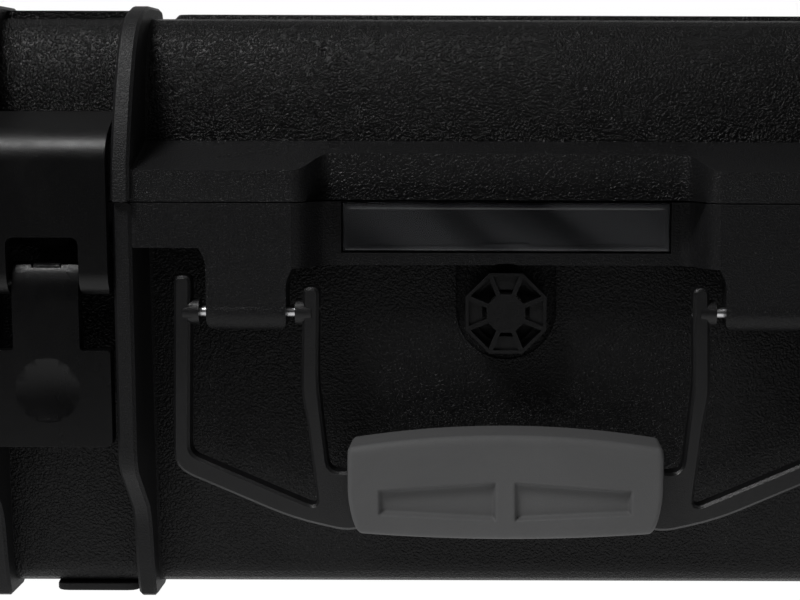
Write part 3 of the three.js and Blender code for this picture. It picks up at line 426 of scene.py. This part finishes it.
# Handle: a two-armed frame of glass-filled nylon swings on two pins in the base's brackets. It is
# a little lighter than the latches.
frame_plastic = satin_material(
    "frame_plastic", (0.0062, 0.0062, 0.0066, 1), rough=0.34, grain_depth=0.00003, level=0.32)
finish_moulding("handle_frame", frame_plastic, round_edge=0.0006)


# Pins: drawn steel, whose gloss and colour change in fine streaks. They carry the latches, the
# handle and the hinges.
def steel_material():
    """Bright metal whose gloss changes in fine streaks along the pin."""
    made, tree, shader, where = material_of("drawn_steel", Metallic=1.0)
    stretched = node(tree, "ShaderNodeMapping", {"Vector": where, "Scale": (60, 2400, 2400)}).outputs[0]
    streaks = node(tree, "ShaderNodeTexNoise", {
        "Vector": stretched, "Scale": 1.0, "Detail": 3.0}).outputs[0]
    tree.links.new(ramp(tree, streaks, 0.3, 0.7, 0.20, 0.38), shader.inputs["Roughness"])
    tree.links.new(mixed_colour(tree, streaks, (0.50, 0.50, 0.51, 1), (0.64, 0.64, 0.65, 1)),
                   shader.inputs["Base Color"])
    bump = node(tree, "ShaderNodeBump", {"Height": streaks, "Strength": 1.0, "Distance": 0.00001})
    tree.links.new(bump.outputs[0], shader.inputs["Normal"])
    return made


drawn_steel = steel_material()
for hand in ("left", "right"):
    for part in ("latch_base_pin", "latch_link_pin", "handle_pin", "hinge_pin"):
        finish_moulding(f"{part}_{hand}", drawn_steel, round_edge=0.0003)


# Grip: soft dark grey rubber is moulded over the crossbar. It is arched, its ends are rounded,
# and two shallow panels are sunk in its front and back.
def rounded_loop(count):
    """Points evenly spaced round a square of side 2. Its corners are quarter circles."""
    turn = 0.24
    quarter = np.linspace(0, math.pi / 2, 25)
    corners = [(1, 1, 0), (-1, 1, 1), (-1, -1, 2), (1, -1, 3)]
    parts = [np.stack([(1 - turn) * a + turn * np.cos(quarter + k * math.pi / 2),
                       (1 - turn) * b + turn * np.sin(quarter + k * math.pi / 2)], axis=1)
             for a, b, k in corners]
    path = np.concatenate(parts + [parts[0][:1]])
    run = np.concatenate([[0], np.cumsum(np.hypot(*np.diff(path, axis=0).T))])
    even = np.linspace(0, run[-1], count, endpoint=False)
    return np.stack([np.interp(even, run, path[:, 0]), np.interp(even, run, path[:, 1])], axis=1)


def smoothstep(value, low, high):
    """0 below low, 1 above high, and three times the square less twice the cube between."""
    t = np.clip((value - low) / (high - low), 0, 1)
    return t * t * (3 - 2 * t)


def grid_faces(rows, columns):
    """Quads between neighbouring rows of a grid whose columns close on themselves."""
    row, column = np.meshgrid(np.arange(rows - 1), np.arange(columns), indexing="ij")
    ahead = (column + 1) % columns
    quads = [row * columns + column, row * columns + ahead, (row + 1) * columns + ahead,
             (row + 1) * columns + column]
    return np.stack(quads, axis=-1).reshape(-1, 4)


def grip_points(low, high, rows=260, columns=300):
    """Rings from end to end. A ring is a rounded rectangle, arched along the length by a square
    law, drawn in at each end by a quarter round, shorter towards the bottom by a square law, and
    sunk by a soft step inside each panel."""
    half = (high - low) / 2
    middle = (high + low) / 2
    crown, sag, taper, round_end = 0.0047, 0.0021, 0.0044, 0.0020
    panel_start, panel_end, panel_depth = 0.0034, 0.0464, 0.0024
    panel_top, top_fall, panel_bottom, bottom_rise = 0.130, 0.212, 0.640, 0.150
    outer_lip, inner_lip = -0.0003, 0.0014
    face_start, face_full = 0.80, 0.97
    cap = np.linspace(0, 1, 14)
    turn = np.linspace(0, math.pi / 2, 12)[1:]
    body = np.linspace(-1, 1, rows - 2 * (len(cap) + len(turn)) + 2)[1:-1]
    straight = 1 - round_end / half.x
    along = np.concatenate([-np.ones(len(cap)), -straight - (1 - straight) * np.cos(turn), body * straight,
                            (straight + (1 - straight) * np.cos(turn))[::-1], np.ones(len(cap))])
    inset = np.concatenate([np.full(len(cap), round_end), round_end * (1 - np.sin(turn)), 0 * body,
                            round_end * (1 - np.sin(turn))[::-1], np.full(len(cap), round_end)])
    fill = np.concatenate([cap, np.ones(2 * len(turn) + len(body)), cap[::-1]])
    loop = rounded_loop(columns)
    high_half = half.z - crown * along ** 2 - inset
    low_half = half.z - sag * along ** 2 - inset
    rise = np.where(loop[None, :, 1] > 0, high_half[:, None], low_half[:, None]) * loop[None, :, 1]
    z = middle.z + fill[:, None] * rise
    y = middle.y + fill[:, None] * (half.y - inset)[:, None] * loop[None, :, 0]
    lower = np.clip((middle.z - z) / half.z, 0, 1)
    x = along[:, None] * (half.x - taper * lower ** 2)
    side = np.abs(x)
    share = side / half.x
    top = middle.z + half.z * (panel_top - top_fall * share)
    bottom = middle.z - half.z * (panel_bottom - bottom_rise * share)
    inside = np.minimum.reduce([side - panel_start, panel_end - side, top - z, z - bottom])
    facing = smoothstep(np.abs(loop[None, :, 0]), face_start, face_full)
    sunk = panel_depth * smoothstep(inside, outer_lip, inner_lip) * facing
    y = y - sunk * np.sign(loop[None, :, 0])
    return np.stack([x, y, z], axis=-1).reshape(-1, 3), grid_faces(len(along), columns)


def grip_material():
    """Matt rubber: a fine sandy grain, with palm gloss in clouds, where the grey is a touch lighter."""
    made, tree, shader, where = material_of("grip_rubber", Specular_IOR_Level=0.3)
    fine = placed(tree, leather_grain, Vector=where, Pebbles_per_Metre=1900.0)["Height"]
    marks = placed(tree, handling_marks, Vector=where)
    cloud = sum_of(tree, "MULTIPLY", marks["Cloud"], 0.6)
    tree.links.new(mixed_colour(tree, cloud, (0.083, 0.083, 0.084, 1), (0.094, 0.094, 0.095, 1)),
                   shader.inputs["Base Color"])
    tree.links.new(ramp(tree, marks["Cloud"], 0.0, 1.0, 0.66, 0.56), shader.inputs["Roughness"])
    bump = node(tree, "ShaderNodeBump", {"Height": fine, "Strength": 1.0, "Distance": 0.00003})
    tree.links.new(bump.outputs[0], shader.inputs["Normal"])
    return made


grip = piece_of("grip_cover", *grip_points(*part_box("handle_grip")), grip_material())
grip.data.shade_smooth()
merge = grip.modifiers.new("close_ends", "WELD")
merge.merge_threshold = 0.000002
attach(grip, "handle")
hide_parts("handle_grip")


# Label slot: a dark blank card lies behind a smoky clear cover with a raised rim and a small
# thumb tab at the bottom.
def card_material():
    """Uncoated card: fibres in two directions change its colour a little."""
    made, tree, shader, where = material_of("card_paper", Roughness=0.85, Specular_IOR_Level=0.2)
    stretched = node(tree, "ShaderNodeMapping", {"Vector": where, "Scale": (300, 1, 1800)}).outputs[0]
    fibres = node(tree, "ShaderNodeTexNoise", {"Vector": stretched, "Scale": 1.0, "Detail": 4.0}).outputs[0]
    tree.links.new(mixed_colour(tree, fibres, (0.010, 0.0105, 0.0115, 1), (0.017, 0.0175, 0.019, 1)),
                   shader.inputs["Base Color"])
    bump = node(tree, "ShaderNodeBump", {"Height": fibres, "Strength": 1.0, "Distance": 0.00002})
    tree.links.new(bump.outputs[0], shader.inputs["Normal"])
    return made


def cover_material():
    """Smoky clear plastic: glossy, its gloss hazy in slanting bands, with lighter slanting bands painted
    into its colour as a painted reflection.
    """
    made, tree, shader, where = material_of(
        "smoky_cover", Transmission_Weight=0.75, IOR=1.46, Specular_IOR_Level=0.5)
    slanted = node(tree, "ShaderNodeMapping", {
        "Vector": where, "Scale": (0.16, 1, 0.03), "Rotation": (0, math.radians(38), 0)},
        vector_type="TEXTURE").outputs[0]
    haze_and_reflection_bands = node(tree, "ShaderNodeTexNoise", {"Vector": slanted, "Scale": 1.0, "Detail": 1.5}).outputs[0]
    # Painted reflection: the lighter slanting bands in the colour stand in for reflected light.
    painted_reflection = ramp(tree, haze_and_reflection_bands, 0.40, 0.60)
    tree.links.new(mixed_colour(tree, painted_reflection, (0.04, 0.042, 0.047, 1), (0.20, 0.204, 0.216, 1)),
                   shader.inputs["Base Color"])
    tree.links.new(ramp(tree, haze_and_reflection_bands, 0.35, 0.65, 0.10, 0.22), shader.inputs["Roughness"])
    ripple = node(tree, "ShaderNodeTexNoise", {"Vector": where, "Scale": 70.0, "Detail": 1.0}).outputs[0]
    bump = node(tree, "ShaderNodeBump", {"Height": ripple, "Strength": 1.0, "Distance": 0.00004})
    tree.links.new(bump.outputs[0], shader.inputs["Normal"])
    return made


def close_at(low, high, marks, count):
    """Even places from low to high, with closer ones just beside each mark."""
    reach = 0.002
    near = np.add.outer(marks, np.linspace(-reach, reach, 27)).ravel()
    return np.unique(np.clip(np.concatenate([np.linspace(low, high, count), near]), low, high).round(6))


def cover_points(low, high):
    """A plate with a rim: depth falls by a soft step inside the rim and rises again on the tab.
    The front grid runs over x and z, and the back is the same outline laid flat."""
    rim, rim_height, tab_half, tab_height = 0.0019, 0.0009, 0.0085, 0.0028
    step, rounding, play = 0.0004, 0.0008, Vector((0.0004, 0, 0.0004))
    low, high = low + play, high - play
    u = close_at(low.x, high.x, [low.x, -tab_half, tab_half, high.x], 100)
    v = close_at(low.z, high.z, [low.z, low.z + tab_height, high.z], 30)
    x, z = np.meshgrid(u, v)
    rows, columns = x.shape
    edge = np.minimum.reduce([x - low.x, high.x - x, z - low.z, high.z - z])
    tab = np.minimum(tab_half - np.abs(x), low.z + tab_height - z)
    raised = np.maximum(1 - smoothstep(edge, rim - step, rim + step), smoothstep(tab, -step, step))
    softened = rounding * (1 - smoothstep(edge, -rounding, rounding))
    y = low.y + rim_height * (1 - raised) + softened
    front = np.stack([x, y, z], axis=-1).reshape(-1, 3)
    back = np.stack([x, np.full_like(x, high.y), z], axis=-1).reshape(-1, 3)
    r, c = np.meshgrid(np.arange(rows - 1), np.arange(columns - 1), indexing="ij")
    a = (r * columns + c).reshape(-1)
    quads = np.stack([a, a + 1, a + 1 + columns, a + columns], axis=1)
    border = np.concatenate([np.arange(columns), np.arange(2, rows + 1) * columns - 1,
                             np.arange(rows * columns - 2, (rows - 1) * columns - 1, -1),
                             np.arange(rows - 2, 0, -1) * columns])
    ahead = np.roll(border, -1)
    size = rows * columns
    walls = np.stack([border, border + size, ahead + size, ahead], axis=1)
    return np.concatenate([front, back]), np.concatenate([quads, quads[:, ::-1] + size, walls])


finish_moulding("label_card", card_material(), round_edge=0)
cover = piece_of("window_cover", *cover_points(*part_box("label_window")), cover_material())
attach(cover, "base")
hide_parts("label_window")


# Pressure vent: an eight-sided cap with open windows, the threaded body behind it, its
# breathable membrane, a sealing ring and the nut inside the case.
vent_plastic = satin_material(
    "vent_plastic", (0.0044, 0.0044, 0.0047, 1), rough=0.36, grain_depth=0.00003, level=0.24)
finish_moulding("valve_cap", vent_plastic, round_edge=0, dissolved=False)
finish_moulding("valve_body", vent_plastic, round_edge=0.0003)
finish_moulding("valve_nut", vent_plastic, round_edge=0.0004)


def membrane_material():
    """White felted membrane: short crossed fibres."""
    made, tree, shader, where = material_of("membrane_felt", Roughness=0.9)
    fibres = node(tree, "ShaderNodeTexNoise", {
        "Vector": where, "Scale": 2600.0, "Detail": 4.0, "Distortion": 1.5}).outputs[0]
    tree.links.new(mixed_colour(tree, fibres, (0.48, 0.48, 0.46, 1), (0.66, 0.66, 0.64, 1)),
                   shader.inputs["Base Color"])
    bump = node(tree, "ShaderNodeBump", {"Height": fibres, "Strength": 1.0, "Distance": 0.00003})
    tree.links.new(bump.outputs[0], shader.inputs["Normal"])
    return made


finish_moulding("valve_membrane", membrane_material(), round_edge=0.0001)


# Rubber parts: the seal in the lid's groove, the vent's ring and the four feet. All are black,
# and the feet are the most matt.
def rubber_material(name, colour, rough):
    """Black rubber with a fine moulded grain and dust in specks."""
    made, tree, shader, where = material_of(name, Specular_IOR_Level=0.3)
    fine = placed(tree, leather_grain, Vector=where, Pebbles_per_Metre=1200.0)["Height"]
    worn = tuple(2.5 * part for part in colour[:3]) + (1,)
    finish_plastic(tree, shader, where, colour, worn, rough, 0.06, fine, 0.00004)
    return made


foot_rubber = rubber_material("foot_rubber", (0.012, 0.012, 0.012, 1), rough=0.78)
seal_rubber = rubber_material("seal_rubber", (0.010, 0.010, 0.010, 1), rough=0.62)
finish_moulding("lid_seal", seal_rubber, round_edge=0.0006)
finish_moulding("valve_o_ring", seal_rubber, round_edge=0)
for end in ("front", "rear"):
    for hand in ("left", "right"):
        finish_moulding(f"foot_{end}_{hand}", foot_rubber, round_edge=0.0006)
